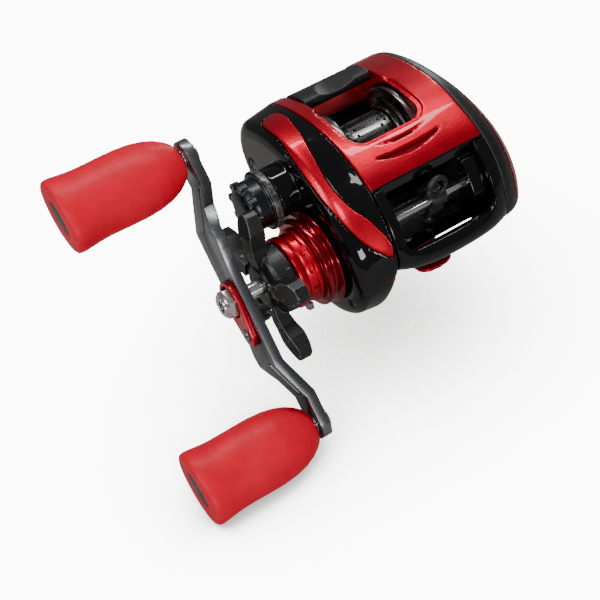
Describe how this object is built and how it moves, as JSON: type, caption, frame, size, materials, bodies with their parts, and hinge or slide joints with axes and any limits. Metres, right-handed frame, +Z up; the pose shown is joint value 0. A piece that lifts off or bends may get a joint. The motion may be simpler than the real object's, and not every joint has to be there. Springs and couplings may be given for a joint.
{
  "type": "baitcasting reel",
  "caption": "Low-profile baitcasting reel with geared spool, level wind, star drag, thumb-bar clutch and a double-grip crank handle.",
  "frame": {"origin": "point of the foot's flat underside straight below the spool axis", "axes": "+X along the spool axis to the palm side, +Y to the rear (the angler), +Z up from the foot"},
  "size_m": [0.1346, 0.0868, 0.0884],
  "materials": {
    "red_metal": "vivid red metallic anodised aluminium, glossy",
    "dark_red": "deep red metallic lacquer",
    "gloss_black": "piano-black gloss lacquer",
    "satin_black": "satin black moulding",
    "gunmetal": "dark anodised aluminium, satin with bright edges",
    "bright_steel": "bright stainless steel",
    "bright_aluminium": "turned bright aluminium",
    "gear_brass": "machined brass",
    "carbon_fibre": "woven carbon friction washer",
    "forged_carbon": "mottled grey carbon composite",
    "pale_nylon": "natural nylon",
    "grip_red": "soft-touch satin red grip"
  },
  "bodies": {
    "reel_body": {"frame": "red_metal", "front_hood": "gloss_black", "gear_side_cover": "gloss_black", "blade_trim": "red_metal", "palm_side_plate": "satin_black", "palm_side_panel": "dark_red", "palm_bearing": "bright_steel", "cast_control_bearing": "bright_steel", "pinion_bearing": "bright_steel", "roller_clutch": "bright_steel", "base_flange": "red_metal", "stepped_collar": "red_metal", "click_lug": "gunmetal", "worm_guard": "gunmetal", "guide_rod": "bright_steel", "cover_screw_1": "gunmetal", "cover_screw_2": "gunmetal"},
    "brake_dial": {"brake_dial": "gunmetal"},
    "magnet_carriage": {"magnet_holder": "satin_black", "magnet_ring": "bright_steel"},
    "spool": {"spool": "gunmetal", "spool_shaft": "bright_steel", "spool_pin": "bright_steel", "inductor_rotor": "bright_aluminium"},
    "yoke": {"clutch_yoke": "bright_steel"},
    "pinion": {"pinion_gear": "gear_brass"},
    "clutch_cam": {"clutch_cam": "bright_steel"},
    "thumb_bar": {"thumb_bar": "satin_black"},
    "crank": {"main_shaft": "bright_steel", "drive_gear": "gear_brass", "drag_washer_inner": "carbon_fibre", "drag_washer_keyed": "bright_steel", "drag_washer_outer": "carbon_fibre", "drag_pressure_plate": "bright_steel", "ratchet_wheel": "bright_steel", "level_wind_drive_gear": "pale_nylon", "clutch_sleeve": "bright_steel", "spring_washer": "bright_steel", "handle_arm": "gunmetal", "retainer_plate": "red_metal", "handle_nut": "bright_steel", "retainer_screw": "gunmetal", "knob_shaft_1": "bright_steel", "knob_shaft_2": "bright_steel"},
    "star": {"star_drag": "gunmetal", "star_flange": "red_metal"},
    "knob_1": {"knob_1": "grip_red", "knob_cap_1": "gunmetal"},
    "knob_2": {"knob_2": "grip_red", "knob_cap_2": "gunmetal"},
    "worm": {"worm_shaft": "bright_steel", "worm_gear": "pale_nylon"},
    "line_guide": {"line_guide": "satin_black", "level_wind_pawl": "gear_brass", "pawl_cap": "bright_steel"},
    "cast_control": {"cast_control_cap": "gunmetal", "cast_control_ring": "forged_carbon"}
  },
  "joints": [
    {"name": "crank_turn", "type": "hinge", "parent": "reel_body", "child": "crank", "pos_m": [-0.045, -0.01546, 0.00883], "axis": [1, 0, 0], "continuous": true},
    {"name": "spool_spin", "type": "hinge", "parent": "reel_body", "child": "spool", "pos_m": [0, 0, 0.026], "axis": [1, 0, 0], "continuous": true},
    {"name": "worm_spin", "type": "hinge", "parent": "reel_body", "child": "worm", "pos_m": [0, -0.02683, 0.01907], "axis": [1, 0, 0], "continuous": true},
    {"name": "line_guide_slide", "type": "slide", "parent": "reel_body", "child": "line_guide", "axis": [1, 0, 0], "range_m": [-0.0118, 0.0061]},
    {"name": "thumb_bar_press", "type": "slide", "parent": "reel_body", "child": "thumb_bar", "axis": [0, 0, -1], "range_m": [0, 0.004]},
    {"name": "yoke_slide", "type": "slide", "parent": "reel_body", "child": "yoke", "axis": [-1, 0, 0], "range_m": [0, 0.0018]},
    {"name": "pinion_spin", "type": "hinge", "parent": "yoke", "child": "pinion", "pos_m": [-0.018, 0, 0.026], "axis": [1, 0, 0], "continuous": true},
    {"name": "clutch_cam_turn", "type": "hinge", "parent": "reel_body", "child": "clutch_cam", "pos_m": [-0.016, 0, 0.026], "axis": [1, 0, 0], "range_deg": [0, 25]},
    {"name": "star_drag_turn", "type": "hinge", "parent": "crank", "child": "star", "pos_m": [-0.048, -0.01546, 0.00883], "axis": [1, 0, 0], "range_deg": [-180, 360]},
    {"name": "knob_1_spin", "type": "hinge", "parent": "crank", "child": "knob_1", "pos_m": [-0.078, 0.01347, 0.04331], "axis": [1, 0, 0], "continuous": true},
    {"name": "knob_2_spin", "type": "hinge", "parent": "crank", "child": "knob_2", "pos_m": [-0.078, -0.04438, -0.02564], "axis": [1, 0, 0], "continuous": true},
    {"name": "cast_control_turn", "type": "hinge", "parent": "reel_body", "child": "cast_control", "pos_m": [-0.042, 0, 0.026], "axis": [1, 0, 0], "range_deg": [-180, 180]},
    {"name": "brake_dial_turn", "type": "hinge", "parent": "reel_body", "child": "brake_dial", "pos_m": [0.033, -0.015, 0.019], "axis": [1, 0, 0], "range_deg": [0, 270]},
    {"name": "magnet_slide", "type": "slide", "parent": "reel_body", "child": "magnet_carriage", "axis": [1, 0, 0], "range_m": [0, 0.0018]}
  ],
  "couplings": [
    {"joint": "spool_spin", "follows": "crank_turn", "ratio": -6},
    {"joint": "pinion_spin", "follows": "crank_turn", "ratio": -6},
    {"joint": "worm_spin", "follows": "crank_turn", "ratio": -2},
    {"joint": "yoke_slide", "follows": "thumb_bar_press", "ratio": 0.45},
    {"joint": "clutch_cam_turn", "follows": "thumb_bar_press", "rad_per_m": 109},
    {"joint": "magnet_slide", "follows": "brake_dial_turn", "m_per_rad": 0.00038}
  ]
}
